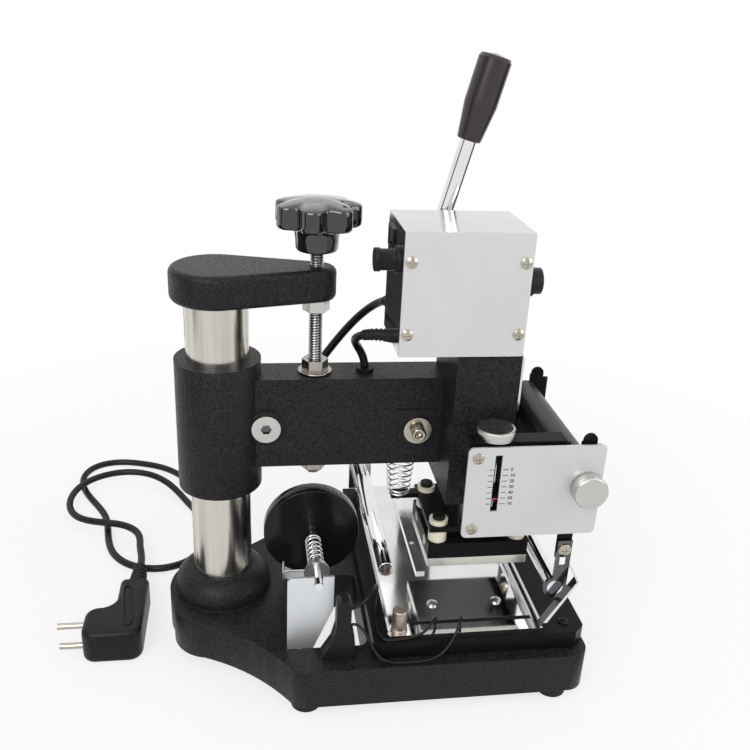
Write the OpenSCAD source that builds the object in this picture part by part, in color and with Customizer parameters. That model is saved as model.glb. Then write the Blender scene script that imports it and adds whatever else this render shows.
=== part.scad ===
// Hot foil stamping press: column press with a rack driven heater, foil reel and foil feed.
// Millimetres, +Z up. Places are written from the column axis and moved to the base centre by placed().

/* [Column] */
// Diameter of the chromed column
column_d = 45; // [42:0.5:47]
// Height of the underside of the top cap
cap_z = 281; // [278:1:288]
// Thickness of the top cap
cap_h = 24; // [20:1:28]

/* [Base] */
// Height of the rubber feet
foot_h = 9; // [6:1:12]
// Thickness of the base casting
base_h = 32; // [28:1:36]
// Right end of the base, from the column axis
base_right = 269; // [264:1:280]
// Front edge of the base, from the column axis
base_front = 109; // [107:1:116]
// Back edge of the base, from the column axis
base_back = 120; // [118:1:130]
// Radius of the round end under the column
lobe_r = 42; // [40:1:46]

/* [Bed and tray] */
// Thickness of the bed plate
bed_t = 14; // [12:1:15]
// Thickness of the tray sheet
sheet_t = 1.5; // [1:0.1:2]
// Width of the tray floor
tray_w = 117; // [112:1:118]
// Diameter of the foil guide rods
guide_d = 12; // [10:0.5:13]

/* [Arm and head] */
// Height of the middle of the arm
arm_z = 190; // [187:1:194]
// Depth of the arm beam from top to bottom
arm_h = 70; // [64:1:72]
// Thickness of the arm beam
arm_t = 32; // [28:1:34]
// Outer diameter of the sleeve on the column
sleeve_d = 62; // [58:1:66]
// Width of the head casting
head_w = 46; // [44:1:47]
// Depth of the head casting
head_d = 64; // [62:1:66]

/* [Control box] */
// Width of the control box
box_w = 87; // [84:1:90]
// Height of the control box
box_h = 86; // [84:1:92]
// Thickness of the box sheet
box_t = 1.5; // [1:0.1:2]

/* [Ram and heater] */
// Diameter of the ram
ram_d = 24; // [22:0.5:25]
// Width of the heater
heater_w = 77; // [70:1:78]
// Depth of the heater
heater_d = 64; // [60:1:66]
// Height of the die plate's underside at rest
die_z = 86.4; // [86:0.2:88]
// Thickness of the die plate
die_t = 7.2; // [6:0.2:8]
// Thickness of the heater block
heater_t = 12.8; // [12:0.2:13.4]

/* [Lever] */
// Length of the lever from its shaft to the end of the grip
lever_len = 152; // [140:1:160]
// Lean of the lever at rest
lever_lean = 14.5; // [10:0.5:18]
// Diameter of the grip
grip_d = 23.6; // [20:0.2:26]
// Length of the grip
grip_len = 60; // [50:1:70]
// Diameter of the lever rod
lever_d = 12; // [10:0.5:13]

/* [Height adjuster] */
// Diameter of the threaded rod
rod_d = 10; // [8:0.5:11]
// Diameter of the star knob
knob_d = 61; // [54:1:66]
// Distance of the threaded rod from the column
rod_x = 70; // [66:1:74]

/* [Foil feed] */
// Diameter of the driven feed roller
feed_d = 25; // [23:0.5:25]
// Diameter of the pinch roller
pinch_d = 19; // [18:0.5:20]
// Diameter of the feed knob
feed_knob_d = 24.5; // [20:0.5:28]
// Width of the scale plate
scale_w = 98; // [92:1:98]
// Height of the scale plate
scale_h = 71; // [66:1:74]

/* [Foil reel] */
// Diameter of the reel disc
reel_d = 74; // [66:1:76]
// Height of the reel axis
reel_z = 95.5; // [94:0.5:96]
// Diameter of the reel shaft
reel_shaft_d = 6; // [5.5:0.5:7]

/* [Mains cord] */
// Diameter of the mains cord
cord_d = 6.5; // [6:0.1:7]
// Diameter of the sensor leads
lead_d = 2; // [1.6:0.1:2.2]

/* [Fits] */
// Radial clearance of shafts and slides
run = 0.05; // [0.02:0.01:0.08]
// Clearance between moving faces
gap = 0.3; // [0.3:0.05:0.4]

/* [Hidden] */
$fn = 48;

// Colours
black_cast = [0.09, 0.09, 0.10];
chrome = [0.80, 0.82, 0.84];
steel = [0.70, 0.70, 0.70];
silver_sheet = [0.82, 0.82, 0.81];
black_plastic = [0.05, 0.05, 0.05];
grey_rubber = [0.33, 0.33, 0.33];
ceramic_white = [0.95, 0.93, 0.86];

// Base and bed
mid_x = (base_right - lobe_r) / 2;
mid_y = (base_back - base_front) / 2;
column_r = column_d / 2;
base_top = foot_h + base_h;
base_corner_r = 14;
boss_ring_r = 17.5;
boss_in = 2.5;
boss_h = 3;
sweep_r = 153.5;
front_sweep = 31.93;
back_sweep = 21.39;
toe_r = 14;
heel = [-8, -21];
heel_r = 30;
heel_in = 8;
front_corner_x = 53;
back_corner_x = 74;
front_sweep_mid = [front_corner_x - sweep_r * cos(front_sweep), -base_front - sweep_r * sin(front_sweep)];
back_sweep_mid = [back_corner_x - sweep_r * cos(back_sweep), base_back + sweep_r * sin(back_sweep)];
front_toe = toe_mid(front_sweep_mid, toe_r - base_front);
back_toe = toe_mid(back_sweep_mid, base_back - toe_r);
column_seat = 6;
cap_socket = 14;
window_x = 50;
window_y = -83;
window_w = 56;
window_d = 85;
window_r = 6;
foot_r = 11;
foot_curve = 17.6;
foot_flat = 1.5;
foot_xy = [front_toe, [base_right - 23, 12 - base_front], back_toe, [base_right - 23, base_back - 15]];
bed_x = window_x + window_w + 2;
bed_right = base_right - 2;
bed_front = 10 - base_front;
bed_back = base_back - 3;
bed_cut = 8;
bed_top = base_top + bed_t;

// Tray
tray_x = 119;
tray_right = tray_x + tray_w;
tray_front = bed_front + 5;
tray_back = bed_back - 1;
tray_top = bed_top + sheet_t;
tray_lip = 4;
tray_corner_r = 3;
slot_in = [18, 7];
slot_x = tray_x + slot_in[0];
slot_w = tray_w - slot_in[0] - slot_in[1];
slot_d = 4;
slot_y = tray_front + 13;
wing_d = 7;
wing_rise = [23, 40];
wing_lip = [-7, 13];
fence_x = 152.5;
fence_w = 7;
fence_t = 2.4;
fence_y0 = -22;
fence_y1 = 104;
post_d = 11;
post_h = 18;
post_xy = [tray_x + 9, tray_front + 7];
guide_z = tray_top + 27.5;
left_guide_x = 122.5;
left_guide_front = -52;
bracket_w = 20;
bracket_t = 8;
screw_d = 8;
screw_h = 2.2;
screw_core = 4;
bed_screw_xy = [[bed_right - 14, bed_front + 12], [bed_right - 14, bed_back - 12]];
tray_screw_xy = [[158, tray_front + 34], [208, tray_front + 34]];
fence_screw_y = [18, 90];

// Arm, head and box
arm_low = arm_z - arm_h / 2;
arm_top = arm_z + arm_h / 2;
sleeve_low = arm_z - 54;
sleeve_h = 101;
head_x = 164;
head_right = head_x + head_w;
head_front = -50;
head_back = head_front + head_d;
head_low = arm_z - 52;
head_top = arm_z + 66;
tenon_d = 30;
tenon_len = 34;
clamp_x = 34;
pinch_x = 146;
bolt_head_d = 21;
bolt_head_h = 3;
bolt_core = 10;
side_t = 1.5;
box_right = head_right - 1;
box_x = box_right - box_w;
box_front = head_front - 2;
box_back = head_back;
box_low = head_top;
box_top = box_low + box_h;
box_screw_in = 5;
box_screw_low = 16;
box_screw_high = 20;
box_screw_xz = [for (x = [box_x + box_screw_in, box_right - box_screw_in],
    z = [box_low + box_screw_low, box_top - box_screw_high]) [x, z]];
lug = [9, 5, 10];
panel_screw_d = 8;

// Ram and heater
ram_x = head_x + 24;
ram_y = -21;
ram_r = ram_d / 2;
heater_x = ram_x + 3.5;
heater_front = -54;
heater_y = heater_front + heater_d / 2;
heater_z = die_z + die_t;
bush_z = heater_z + heater_t;
bush_h = 10.2;
plate_z = bush_z + bush_h;
plate_t = 4.1;
bush_top = plate_z + plate_t;
bush_ring_h = 3.6;
bush_d = 14;
bush_core = 6;
bush_in = 8;
bush_xy = [for (sx = [-1, 1], sy = [-1, 1])
    [heater_x + sx * (heater_w / 2 - bush_in), heater_y + sy * (heater_d / 2 - bush_in)]];
tab_x = 132;
tab_w = 8;
cartridge_d = 8;
cartridge_y = [heater_y - 16, heater_y + 16];

// Rack and pinion
gear_m = 2;
gear_teeth = 24;
gear_r = gear_m * gear_teeth / 2;
gear_play = 0.25;
pressure = 20;
rack_x = ram_x - 9;
lever_x = rack_x - gear_r;
lever_z = box_low + 44;
gear_w = 12;
ram_top = lever_z + 36;
rack_low = lever_z - 17;
lever_y = head_back + 14;
shaft_d = 12;
hub_r = 13;
hub_w = 18;
cheek_t = 8;
cheek_in = ram_r + 1;

// Height adjuster
rod_r = rod_d / 2;
nut_af = rod_d * 1.7;
nut_h = rod_d * 0.85;
washer_d = 25;
washer_t = 1.5;
knob_low = cap_z + cap_h + 11;
knob_hub_r = 15;
knob_hub_h = 17;
knob_h = 18;
knob_lobes = 7;
lobe_knob_r = 9;
rod_low = arm_low - nut_h - 4;
cap_r = 32;
cap_nose_r = 14;

// Foil feed
scale_x = 168;
scale_low = arm_z - 58;
scale_y = -85;
scale_t = 1.5;
feed_plate_t = 2;
hanger_t = 2;
feed_plate_y = scale_y + scale_t + hanger_t + 2 * gap;
rear_plate_y = head_back + 24;
feed_x = 255.5;
feed_z = arm_z - 20;
feed_shaft_d = 10;
feed_knob_t = 10;
feed_r = feed_d / 2;
pinch_r = pinch_d / 2;
pinch_shaft_d = 8;
pinch_roller_x = feed_x - 10.5;
pinch_z = feed_z + sqrt(pow(feed_r + pinch_r + gap, 2) - pow(feed_x - pinch_roller_x, 2));
ear_top = pinch_z + 20;
ear_right = scale_x + scale_w - 6;
ear_r = 5;
roller_y0 = feed_plate_y + feed_plate_t + 1.5;
roller_y1 = rear_plate_y - 1.5;
flange_d = 13;
flange_w = 68;
pointer_x = 189.5;
pointer_y = feed_plate_y + 9;
pointer_z = scale_low + 31;
pointer_slot_low = scale_low + 21;
pointer_slot_h = 44;
pointer_slot_w = 5;
pointer_block = 10;
feed_screw_d = 6;
feed_disc_d = 26;
feed_disc_t = 7;
flange_z = scale_low + scale_h;
scale_screw_z = [scale_low + 7, scale_low + scale_h - 8];
standoff_d = 9;
standoff_xz = [[178, arm_z - 8], [178, arm_z - 40], [203, arm_z - 8]];
leg_x = 247;
leg_w = 11;
leg_screw_z = arm_z - 73;
leg_low = leg_screw_z - 8;
hanger_travel = 12;
hanger_slot = 5.2;
right_guide_x = leg_x - 3;

// Foil reel
reel_x = 69;
reel_shaft_r = reel_shaft_d / 2;
reel_bracket_t = 1.8;
shaft_proud = 1.5;
upright_x = 47;
upright_top = 102.5;
upright_foot = 66;
upright_right = 80;
reel_y0 = window_y;
reel_y1 = window_y + window_d;
reel_disc_y = -3;
reel_disc_t = 13;
reel_rim = 5;
spring_wire = 1.2;
spring_r = 5.6;
spring_turns = 7;
spring_y0 = -60;
spring_y1 = -27;
collar_d = 15;
collar_len = 8;

// Box fittings
fuse_y = -34;
fuse_z = box_low + 63;
switch_y = -3;
switch_z = box_low + 71;
switch_w = 19;
switch_h = 13;
switch_pivot = 3;
switch_pin_d = 2;
switch_tilt = 8;
dial_y = -42;
dial_z = box_low + 51;
dial_len = 9;
gland_x = box_x + 9;
gland_z = box_low + 9;
gland_len = 10;
grommet_x = 107;
cable_d = 6;
box_cable = [box_x, -34, box_low + 9];

// Return spring
return_x = 138;
return_y = heater_y + 22;
return_wire = 1.4;
return_r = 9.5;
return_turns = 8;
return_low = plate_z + plate_t + 0.1;

// Routes of the cords, chosen by hand
cord_r = cord_d / 2;
cord_start = [gland_x, head_back + gland_len + gap, gland_z];
cord_route = [cord_start, [gland_x, 42, 265], [126, 60, 260], [110, 72, 243], [90, 72, 218], [70, 68, 190],
    [46, 66, 162], [22, 72, 136], [6, 86, 108], [-2, 104, 80], [-6, 126, 52], [-10, 150, 26],
    [-17, 176, 9], [-27, 202, cord_r], [-40, 226, cord_r]];
over = 12;
loop_route = [[-40, 226, cord_r], [-54, 246, cord_r], [-72, 262, cord_r], [-96, 271.5, cord_r],
    [-120, 277, cord_r], [-144, 269, cord_r], [-154, 245, cord_r], [-147, 216, cord_r], [-131, 190, cord_r],
    [-116, 164, cord_r], [-112, 136, cord_r], [-106, 104, cord_r], [-88, 82, cord_r], [-62, 73, cord_r],
    [-36, 81, cord_r], [-19, 104, cord_r], [-17, 132, cord_r], [-26, 160, cord_r], [-42, 188, cord_r],
    [-56, 212, 7], [-76, 230, over], [-104, 240, over], [-132, 232, over], [-152, 210, over], [-157, 182, 9],
    [-146, 157, 8], [-122, 143, 11], [-98, 138, over], [-80, 122, over], [-78, 100, over]];
plug_x = -107;
plug_y = -40;
plug_w = 45;
plug_d = 35;
plug_r = 10;
plug_h = 28;
plug_neck_w = 23;
plug_neck = [plug_x + plug_w - plug_neck_w / 2, 31];
shoulder_r = 12;
relief_len = 34;
relief_ribs = 6;
pin_d = 4.8;
pin_len = 19;
pin_gap = 19;
plug_end = [plug_neck[0], plug_neck[1] + relief_len, plug_h / 2];
plug_lead_route = [[-78, 100, over], [-76, 89, over], [-74, 78, 13.4], plug_end];
block_x = 88;
block_y = window_y - 8;
block_d = 12;
lead_a_route = [[92, -88, 78], [97, -88, 79], [105, -83, 84], [112, -70, 84], [115.5, -58, 76],
    [115.5, -57, 64], [113, -66, 57], [112, -80, 56.4], [112, -94, 56.4], [118, -99, 56.4], [130, -97, 56.4],
    [142, -97, 58], [150, -92, 62], [156, -83, 64], [156.5, -81, 59], [156.5, -81, bed_top]];
lead_b_route = [[92, -95, 70], [97, -95, 70], [103, -98, 62], [108, -103, 50], [116, -105, 42.4],
    [130, -106, 42.4], [146, -106, 42.4], [158, -104, 46], [165, -101, 56], [171, -95, 64], [175, -84, 65],
    [175.5, -81, 60], [175.5, -81, bed_top]];

// Sets the origin under the middle of the base
module placed() {
    translate([-mid_x, -mid_y, 0]) children();
}

module round_rect(x, y, w, d, r) {
    translate([x + r, y]) square([w - 2 * r, d]);
    translate([x, y + r]) square([w, d - 2 * r]);
    for (cx = [x + r, x + w - r], cy = [y + r, y + d - r]) translate([cx, cy]) circle(r = r);
}

// A cylinder along Y from y0 to y1
module rod_y(d, x, z, y0, y1) {
    translate([x, y1, z]) rotate([90, 0, 0]) cylinder(d = d, h = y1 - y0);
}

// A cylinder along X from x0 to x1
module rod_x_axis(d, y, z, x0, x1) {
    translate([x0, y, z]) rotate([0, 90, 0]) cylinder(d = d, h = x1 - x0);
}

// An outline drawn in X and Z, from y0 to y1
module plate_xz(y0, y1) {
    translate([0, y1, 0]) rotate([90, 0, 0]) linear_extrude(y1 - y0) children();
}

module hex_nut(af, h, hole) {
    difference() {
        cylinder(d = af / cos(30), h = h, $fn = 6);
        translate([0, 0, -1]) cylinder(d = hole, h = h + 2);
    }
}

// A pan head screw standing on z = 0, with its core below
module pan_screw(d, h, core) {
    difference() {
        rotate_extrude() intersection() {
            translate([0, -core]) square([d / 2, core + h]);
            union() {
                translate([0, -core]) square([screw_core / 2, core]);
                translate([0, h - d * 0.9]) circle(d * 0.9);
            }
            union() {
                translate([0, -core]) square([screw_core / 2, core + 1]);
                square([d / 2, h]);
            }
        }
        for (turn = [0, 90]) rotate(turn) translate([-d / 3, -0.5, h - 0.9]) cube([d / 1.5, 1, 2]);
    }
}

// A smooth curve that leans to hand-picked points and ends straight on the first and last
function curve_at(p0, p1, p2, p3, t) = (pow(1 - t, 3) * p0 + (3 * pow(t, 3) - 6 * t * t + 4) * p1
    + (-3 * pow(t, 3) + 3 * t * t + 3 * t + 1) * p2 + pow(t, 3) * p3) / 6;
function smooth(points, steps) = let (
    n = len(points),
    q = concat([2 * points[0] - points[1]], points, [2 * points[n - 1] - points[n - 2]]))
    concat([for (i = [0 : n - 2], s = [0 : steps - 1])
        curve_at(q[i], q[i + 1], q[i + 2], q[i + 3], s / steps)],
        [points[n - 1]]);
function unit(v) = v / norm(v);
function tangents(path) = let (n = len(path))
    [for (i = [0 : n - 1]) unit(path[min(i + 1, n - 1)] - path[max(i - 1, 0)])];
// A sideways vector carried along the path without twisting
function carried(ts, side, i) = i >= len(ts) ? [] :
    let (next = unit(side - (side * ts[i]) * ts[i])) concat([next], carried(ts, next, i + 1));

// A round tube swept along a path
module swept(path, r, sides, first_side = [0, 0, 1]) {
    ts = tangents(path);
    us = carried(ts, first_side, 0);
    n = len(path);
    points = [for (i = [0 : n - 1], k = [0 : sides - 1])
        path[i] + r * (cos(360 * k / sides) * us[i] + sin(360 * k / sides) * cross(ts[i], us[i]))];
    walls = [for (i = [0 : n - 2], k = [0 : sides - 1])
        let (a = i * sides + k, b = i * sides + (k + 1) % sides)
        each [[a, a + sides, b + sides], [a, b + sides, b]]];
    first_cap = [for (k = [1 : sides - 2]) [0, k, k + 1]];
    last = (n - 1) * sides;
    last_cap = [for (k = [1 : sides - 2]) [last, last + k + 1, last + k]];
    polyhedron(points, concat(walls, first_cap, last_cap));
}

// Least distance between parts of a path that are more than skip points apart
function least_gap(path, skip, r) = min([for (i = [0 : len(path) - 1])
    min([for (j = [0 : len(path) - 1]) abs(i - j) > skip ? norm(path[i] - path[j]) : 1000])]) - 2 * r;

// Middle of a round corner that touches a swept side and an edge toe_r away from y
function toe_mid(sweep_mid, y) = [sweep_mid[0] + sqrt(pow(sweep_r + toe_r, 2) - pow(sweep_mid[1] - y, 2)), y];
// Where a round corner leaves the swept side
function toe_start(sweep_mid, toe) = sweep_mid + (toe - sweep_mid) * sweep_r / (sweep_r + toe_r);

module base_outline() {
    circle(r = lobe_r);
    translate(heel) circle(r = heel_r);
    for (toe = [front_toe, back_toe]) translate(toe) circle(r = toe_r);
    difference() {
        union() {
            polygon([heel - [heel_in, heel_r], toe_start(front_sweep_mid, front_toe),
                [front_toe[0], -base_front], [base_right / 2, -base_front], [base_right / 2, base_back],
                [back_toe[0], base_back],
                toe_start(back_sweep_mid, back_toe), [-20, 40]]);
            round_rect(back_corner_x + 20, -base_front, base_right - back_corner_x - 20,
                base_front + base_back, base_corner_r);
        }
        for (mid = [front_sweep_mid, back_sweep_mid]) translate(mid) circle(r = sweep_r, $fn = 96);
    }
}

module base_casting() {
    color(black_cast) placed() difference() {
        union() {
            translate([0, 0, foot_h]) linear_extrude(base_h) difference() {
                base_outline();
                round_rect(window_x, window_y, window_w, window_d, window_r);
            }
            translate([0, 0, base_top]) rotate_extrude() intersection() {
                translate([column_r - boss_in, boss_h]) circle(r = boss_ring_r);
                square([column_r + 40, boss_h + boss_ring_r]);
            }
        }
        translate([0, 0, foot_h + column_seat]) cylinder(r = column_r, h = base_h + 60);
        for (p = foot_xy) translate([p[0], p[1], foot_h - 1]) cylinder(d = screw_core, h = 13);
        for (p = bed_screw_xy) translate([p[0], p[1], base_top - 6]) cylinder(d = screw_core, h = 10);
    }
}

module rubber_feet() {
    color(black_plastic) placed() for (p = foot_xy) translate([p[0], p[1], 0]) {
        rotate_extrude() intersection() {
            square([foot_r, foot_h]);
            translate([0, foot_curve - foot_flat]) circle(r = foot_curve);
        }
        translate([0, 0, foot_h - 1]) cylinder(d = screw_core, h = 12);
    }
}

module column() {
    color(chrome) placed() translate([0, 0, foot_h + column_seat])
        cylinder(r = column_r, h = cap_z + cap_socket - foot_h - column_seat, $fn = 96);
}

// Straight sides between the cap's round end and its nose
module cap_web() {
    lean = asin((cap_r - cap_nose_r) / rod_x);
    polygon([for (side = [1, -1], big = side > 0 ? [1, 0] : [0, 1])
        let (r = big == 1 ? cap_r : cap_nose_r, x = big == 1 ? 0 : rod_x)
        [x + r * sin(lean), side * r * cos(lean)]]);
}

module top_cap() {
    color(black_cast) placed() translate([0, 0, cap_z]) difference() {
        union() {
            cylinder(r = cap_r, h = cap_h);
            translate([rod_x, 0, 0]) cylinder(r = cap_nose_r, h = cap_h);
            linear_extrude(cap_h) cap_web();
        }
        translate([0, 0, -1]) cylinder(r = column_r, h = cap_socket + 1);
        translate([rod_x, 0, -1]) cylinder(r = rod_r + run, h = cap_h + 2);
    }
}

module bed_plate() {
    color(black_cast) placed() difference() {
        translate([0, 0, base_top]) linear_extrude(bed_t)
            polygon([[bed_x, bed_front], [bed_right - bed_cut, bed_front], [bed_right, bed_front + bed_cut],
                [bed_right, bed_back], [bed_x, bed_back]]);
        for (p = bed_screw_xy) translate([p[0], p[1], base_top - 1]) cylinder(d = screw_core, h = bed_t + 2);
        for (p = tray_screw_xy) translate([p[0], p[1], base_top + 4]) cylinder(d = screw_core, h = bed_t);
    }
}

// Screws of the bed, tray and fence, and the lock nut under the cap
module frame_fasteners() {
    color(steel) placed() {
        for (p = bed_screw_xy) translate([p[0], p[1], bed_top]) pan_screw(screw_d, screw_h, bed_t + 5);
        for (p = tray_screw_xy) translate([p[0], p[1], tray_top]) pan_screw(screw_d, screw_h, bed_t - 4);
        for (y = fence_screw_y) translate([fence_x + fence_w / 2, y, bed_top])
            cylinder(d = screw_core, h = sheet_t + fence_t);
        translate([rod_x, 0, cap_z - nut_h]) hex_nut(nut_af, nut_h, rod_d + 2 * run);
    }
}

module work_tray() {
    color(chrome) placed() {
        difference() {
            union() {
                translate([0, 0, bed_top]) linear_extrude(sheet_t)
                    round_rect(tray_x, tray_front, tray_w, tray_back - tray_front, tray_corner_r);
                translate([tray_x, tray_front + tray_corner_r, bed_top])
                    cube([sheet_t, tray_back - tray_front - 2 * tray_corner_r, tray_lip]);
            }
            translate([slot_x, slot_y - slot_d / 2, bed_top - 1]) cube([slot_w, slot_d, sheet_t + 2]);
            for (p = tray_screw_xy) translate([p[0], p[1], bed_top - 1]) cylinder(d = screw_core, h = 5);
            for (y = fence_screw_y) translate([fence_x + fence_w / 2, y, bed_top - 1])
                cylinder(d = screw_core, h = 5);
        }
        plate_xz(tray_front + 1, tray_front + 1 + wing_d) wing_outline();
    }
}

// The bent foil guide at the right of the tray
module wing_outline() {
    foot = [tray_right - 1, bed_top];
    bend = foot + wing_rise;
    tip = bend + wing_lip;
    inward = [-sheet_t, 0];
    polygon([foot - [4, 0], foot, bend, tip, tip + inward, bend + inward * 1.3,
        foot + inward * 1.6 + [0, sheet_t], foot + [-4, sheet_t]]);
}

module stop_post() {
    color([0.72, 0.62, 0.50]) placed() translate([post_xy[0], post_xy[1], tray_top]) rotate_extrude()
        polygon([[0, 0], [post_d / 2 + 0.6, 0], [post_d / 2 + 0.6, 1.5], [post_d / 2 - 0.4, 1.9],
            [post_d / 2 - 0.4, 2.6], [post_d / 2, 3], [post_d / 2, post_h - 0.6],
            [post_d / 2 - 0.6, post_h], [0, post_h]]);
}

module card_fence() {
    color(chrome) placed() difference() {
        translate([fence_x, fence_y0, tray_top]) cube([fence_w, fence_y1 - fence_y0, fence_t]);
        for (y = fence_screw_y) translate([fence_x + fence_w / 2, y, tray_top - 1])
            cylinder(d = screw_core, h = fence_t + 2);
    }
}

module left_guide_rod() {
    color(chrome) placed() rod_y(guide_d, left_guide_x, guide_z, left_guide_front, tray_back);
}

module rod_bracket() {
    color(black_cast) placed() difference() {
        translate([left_guide_x - bracket_w / 2, tray_back - bracket_t, tray_top])
            cube([bracket_w, bracket_t, guide_z - tray_top + guide_d / 2 + 4]);
        rod_y(guide_d, left_guide_x, guide_z, tray_back - bracket_t - 1, tray_back + 1);
        translate([tray_x - bracket_w, tray_back - bracket_t - 1, tray_top - 1])
            cube([bracket_w + sheet_t, bracket_t + 2, tray_lip + 1]);
    }
}

// Upright of the reel, with an open notch for the shaft
module reel_upright() {
    foot_x = window_x + window_r + 1;
    difference() {
        polygon([[foot_x, base_top - 20], [upright_foot, base_top - 20], [upright_foot, base_top],
            [upright_right, base_top + 34], [upright_right, upright_top], [upright_x + 3, upright_top],
            [upright_x, upright_top - 3], [upright_x, base_top], [foot_x, base_top]]);
        translate([reel_x, reel_z]) circle(r = reel_shaft_r + run);
        translate([reel_x - reel_shaft_r - run, reel_z]) square([reel_shaft_d + 2 * run, upright_top]);
    }
}

module reel_brackets() {
    color(silver_sheet) placed() {
        plate_xz(reel_y0, reel_y0 + reel_bracket_t) reel_upright();
        plate_xz(reel_y1 - reel_bracket_t, reel_y1) reel_upright();
    }
}

module connector_block() {
    color(black_plastic) placed() translate([block_x, block_y, base_top]) {
        plate_xz(-block_d / 2, block_d / 2) polygon([[-17, 0], [8, 0], [6, 20], [3.5, 26], [3.5, 46],
            [1.5, 50], [-4, 50], [-7, 46], [-7, 26], [-10, 14], [-17, 2]]);
    }
}

module lead_a() {
    color(black_plastic) placed() swept(smooth(lead_a_route, 4), lead_d / 2, 8);
}

module lead_b() {
    color(black_plastic) placed() swept(smooth(lead_b_route, 4), lead_d / 2, 8);
}

module arm_casting() {
    color(black_cast) placed() difference() {
        union() {
            translate([0, 0, sleeve_low]) cylinder(d = sleeve_d, h = sleeve_h, $fn = 96);
            translate([0, -arm_t / 2, arm_low]) cube([head_x, arm_t, arm_h]);
            rod_y(26, clamp_x, arm_z - 2, -arm_t / 2 - 2, 0);
            translate([pinch_x - 15, -arm_t / 2 - 1, arm_z - 20]) cube([28, arm_t / 2, 30]);
        }
        translate([0, 0, sleeve_low - 1]) cylinder(r = column_r + run, h = sleeve_h + 2, $fn = 96);
        translate([rod_x, 0, arm_low - 1]) cylinder(r = rod_r + run, h = arm_h + 2);
        rod_x_axis(tenon_d, 0, arm_z, head_x - tenon_len, head_x + 1);
        rod_y(bolt_core, clamp_x, arm_z - 2, -arm_t, 0);
        rod_y(bolt_core, pinch_x, arm_z - 6, -arm_t, 0);
        translate([grommet_x, 0, arm_top - 20]) cylinder(d = cable_d + 3, h = 30);
    }
}

module head_casting() {
    color(black_cast) placed() difference() {
        union() {
            translate([head_x, head_front, head_low]) cube([head_w, head_d, head_top - head_low]);
            rod_x_axis(tenon_d, 0, arm_z, head_x - tenon_len, head_x);
            for (side = [-1, 1]) gear_cheek(side);
        }
        translate([ram_x, ram_y, head_low - 1]) cylinder(r = ram_r + run, h = head_top - head_low + 2);
        rod_y(shaft_d + 2 * run, lever_x, lever_z, head_front, head_back);
        rod_y(bolt_core, pinch_x, arm_z - 6, -tenon_d, -7);
    }
}

// Bearing cheek of the lever shaft on top of the head
module gear_cheek(side) {
    y = ram_y + side * (cheek_in + cheek_t / 2);
    low = head_top - 1;
    plate_xz(y - cheek_t / 2, y + cheek_t / 2) {
        polygon([[head_x + 2, low], [head_right - 6, low], [head_right - 6, low + 12],
            [lever_x + 10, lever_z + 9], [lever_x - 6, lever_z - 10]]);
        translate([lever_x, lever_z]) circle(r = hub_r);
    }
}

module head_side_plate() {
    color(silver_sheet) placed() translate([head_right, head_front, head_low + 4])
        cube([side_t, head_d, head_top - head_low - 6]);
}

// Box without its front, open to the panel
module box_shell() {
    difference() {
        translate([box_x, box_front + box_t, box_low]) cube([box_w, box_back - box_front - box_t, box_h]);
        translate([box_x + box_t, box_front, box_low + box_t])
            cube([box_w - 2 * box_t, box_back - box_front - box_t, box_h - 2 * box_t]);
    }
}

module box_body() {
    color(silver_sheet) placed() difference() {
        union() {
            box_shell();
            for (p = box_screw_xz)
                translate([p[0] - lug[0] / 2, box_front + box_t, p[1] - lug[2] / 2]) cube(lug);
        }
        translate([head_x + 1, head_front + 4, box_low - 1]) cube([head_w - 6, head_d - 10, 10]);
        rod_y(shaft_d + 3, lever_x, lever_z, box_back - 10, box_back + 1);
        rod_y(cord_d + 4, gland_x, gland_z, box_back - 10, box_back + 1);
        rod_x_axis(12, fuse_y, fuse_z, box_x - 1, box_x + 10);
        rod_x_axis(8, dial_y, dial_z, box_right - 10, box_right + 1);
        rod_x_axis(cable_d + 4, box_cable[1], box_cable[2], box_x - 1, box_x + 5);
        translate([box_x - 1, switch_y - switch_w / 2, switch_z - switch_h / 2])
            cube([9, switch_w, switch_h]);
        for (p = box_screw_xz) rod_y(screw_core, p[0], p[1], box_front, box_front + lug[1] + 1);
    }
}

module box_front_panel() {
    color(silver_sheet) placed() difference() {
        plate_xz(box_front, box_front + box_t) round_rect(box_x, box_low, box_w, box_h, 1);
        for (p = box_screw_xz) rod_y(screw_core, p[0], p[1], box_front - 1, box_front + box_t + 1);
    }
}

// A pan head screw on a face that looks to the front
module front_screw(x, y, z, d, core) {
    translate([x, y, z]) rotate([90, 0, 0]) pan_screw(d, 2, core);
}

// Bolts of the arm, screws of the box, scale plate and hangers, and standoffs of the feed plates
module arm_fasteners() {
    color(steel) placed() {
        socket_bolt(clamp_x, -arm_t / 2 - 2, arm_z - 2, 12);
        socket_bolt(pinch_x, -arm_t / 2 - 1, arm_z - 6, 8);
        for (p = box_screw_xz) front_screw(p[0], box_front, p[1], panel_screw_d, box_t + lug[1] - 1);
        for (z = scale_screw_z)
            front_screw(scale_x + 7, scale_y, z, panel_screw_d, feed_plate_y + feed_plate_t / 2 - scale_y);
        for (y = [feed_plate_y, rear_plate_y])
            front_screw(leg_x, y - hanger_t - 2 * gap, leg_screw_z, 9.5, hanger_t + 2 * gap);
        for (p = standoff_xz) {
            rod_y(standoff_d, p[0], p[1], feed_plate_y + feed_plate_t, head_front);
            rod_y(standoff_d, p[0], p[1], head_back, rear_plate_y);
        }
    }
}

module socket_bolt(x, y, z, len) {
    difference() {
        union() {
            rod_y(bolt_head_d, x, z, y - bolt_head_h, y);
            rod_y(bolt_core, x, z, y - bolt_head_h, y + len);
        }
        translate([x, y - bolt_head_h + 2, z]) rotate([90, 0, 0]) cylinder(d = 8, h = 9, $fn = 6);
    }
}

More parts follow.
